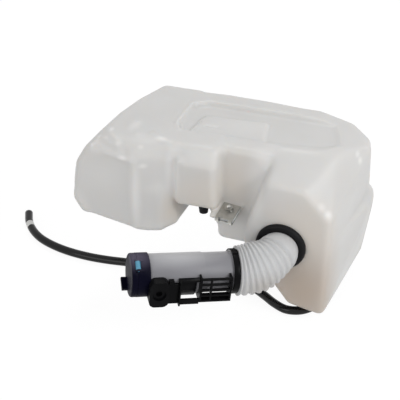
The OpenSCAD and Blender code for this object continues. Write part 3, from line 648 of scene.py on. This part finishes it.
hose_path = through(np.column_stack([hose_plan, np.full(len(hose_plan), hose_level)]), hose_steps)
stretches = np.linalg.norm(np.diff(hose_path, axis=0), axis=1)
hose_run = np.concatenate([[0.0], np.cumsum(stretches)])
hose_along = np.gradient(hose_path, axis=0)
hose_along /= np.linalg.norm(hose_along, axis=1, keepdims=True)
hose_outside = rings(hose_path, hose_along, np.full(len(hose_path), hose_r), hose_sides)
tip, tip_along = hose_path[-1], hose_along[-1]
bore_points = np.array([tip, tip, tip - bore_depth * tip_along])
bore_radii = np.array((hose_rim_r, hose_bore_r, hose_bore_r))
bore_rows = rings(bore_points, np.tile(tip_along, (len(bore_points), 1)), bore_radii, hose_sides)
hose = add_piece("delivery_hose", skinned("delivery_hose", np.concatenate([hose_outside, bore_rows]), False))
run_at = np.repeat(np.concatenate([hose_run, np.full(len(bore_points), hose_run[-1])]), hose_sides)
lengths = hose.data.attributes.new("run", "FLOAT", "POINT")
lengths.data.foreach_set("value", run_at.astype(np.float32))

hose_rubber, shader, tint = moulded(
    "hose_rubber", (0.003, 0.003, 0.0035), (0.006, 0.006, 0.0065), 900, 0.1, 0.1, 0.16, specular=0.25)
tree = hose_rubber.node_tree
along_hose = tree.nodes.new("ShaderNodeAttribute")
along_hose.attribute_name = "run"
band_from = hose_run[-1] - band_far
band_to = hose_run[-1] - band_near
edges = []
for start, stop in ((band_from, band_from + band_fade), (band_to, band_to - band_fade)):
    edge = tree.nodes.new("ShaderNodeMapRange")
    edge.inputs["From Min"].default_value = start
    edge.inputs["From Max"].default_value = stop
    tree.links.new(along_hose.outputs["Fac"], edge.inputs["Value"])
    edges.append(edge.outputs["Result"])
band = tree.nodes.new("ShaderNodeMath")
band.operation = "MULTIPLY"
for k, edge in enumerate(edges):
    tree.links.new(edge, band.inputs[k])
paint = tree.nodes.new("ShaderNodeMix")
paint.data_type = "RGBA"
paint.inputs["B"].default_value = (0.72, 0.72, 0.7, 1)
tree.links.new(band.outputs["Value"], paint.inputs["Factor"])
tree.links.new(tint.outputs["Result"], paint.inputs["A"])
tree.links.new(paint.outputs["Result"], shader.inputs["Base Color"])
hose.data.materials.append(hose_rubber)
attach(hose, "reservoir")
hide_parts("washer_hose")


# Studio: a white floor that keeps a faint shadow, an even white surround, broad lamps from the right, from
# above and from the front, and the camera at the photograph's angle.
floor_z = -0.1553
floor_half = 4.0
paper_tone = (0.8, 0.8, 0.8, 1)
paper_glow = 1.09
glow_share = 0.85
surround_light = 0.48
floor_mesh = bpy.data.meshes.new("floor")
floor_plan = ((-1, -1), (1, -1), (1, 1), (-1, 1))
floor_mesh.from_pydata(
    [(sx * floor_half, sy * floor_half, floor_z) for sx, sy in floor_plan], [], [(0, 1, 2, 3)])
floor = add_piece("floor", floor_mesh)


def seen_directly(tree):
    """A socket that is 1 for rays from the camera, mirrored or let through, and 0 for those that light."""
    rays = tree.nodes.new("ShaderNodeLightPath")
    total = rays.outputs["Is Camera Ray"]
    for label in ("Is Glossy Ray", "Is Transmission Ray"):
        either = tree.nodes.new("ShaderNodeMath")
        either.operation = "MAXIMUM"
        tree.links.new(total, either.inputs[0])
        tree.links.new(rays.outputs[label], either.inputs[1])
        total = either.outputs["Value"]
    return total


paper = bpy.data.materials.new("white_paper")
paper.use_nodes = True
tree = paper.node_tree
tree.nodes.clear()
matt = tree.nodes.new("ShaderNodeBsdfDiffuse")
matt.inputs["Color"].default_value = paper_tone
glow = tree.nodes.new("ShaderNodeEmission")
glow.inputs["Strength"].default_value = paper_glow
share = tree.nodes.new("ShaderNodeMath")
share.operation = "MULTIPLY"
share.inputs[1].default_value = glow_share
mix = tree.nodes.new("ShaderNodeMixShader")
target = tree.nodes.new("ShaderNodeOutputMaterial")
tree.links.new(seen_directly(tree), share.inputs[0])
tree.links.new(share.outputs["Value"], mix.inputs["Fac"])
tree.links.new(matt.outputs["BSDF"], mix.inputs[1])
tree.links.new(glow.outputs["Emission"], mix.inputs[2])
tree.links.new(mix.outputs["Shader"], target.inputs["Surface"])
floor.data.materials.append(paper)

world = bpy.data.worlds.new("surround")
bpy.context.scene.world = world
world.use_nodes = True
tree = world.node_tree
sky = tree.nodes["Background"]
sky.inputs["Color"].default_value = (1, 1, 1, 1)
level = tree.nodes.new("ShaderNodeMapRange")
level.inputs["To Min"].default_value = surround_light
level.inputs["To Max"].default_value = 1.0
tree.links.new(seen_directly(tree), level.inputs["Value"])
tree.links.new(level.outputs["Result"], sky.inputs["Strength"])

for name, at, size, power in (
        ("key", (1.4, -0.5, 1.0), 0.6, 12.0),
        ("overhead", (-0.35, 0.8, 1.35), 0.4, 4.0),
        ("front", (-0.7, -1.9, 0.7), 1.4, 9.0)):
    lamp = bpy.data.lights.new(name, "AREA")
    lamp.size = size
    lamp.energy = power
    light = bpy.data.objects.new(name, lamp)
    light.location = at
    light.rotation_euler = (-Vector(at)).to_track_quat("-Z", "Y").to_euler()
    bpy.context.collection.objects.link(light)

camera = bpy.data.objects.new("camera", bpy.data.cameras.new("camera"))
camera.location = (0.35445, -1.20741, 0.84219)
look = Vector((-0.03461, -0.0171, 0.01647)) - camera.location
camera.rotation_euler = look.to_track_quat("-Z", "Y").to_euler()
camera.data.lens = 103.846
camera.data.sensor_width = 36.0
camera.data.clip_start = 0.05
bpy.context.collection.objects.link(camera)
bpy.context.scene.camera = camera
bpy.context.scene.view_settings.view_transform = "Standard"
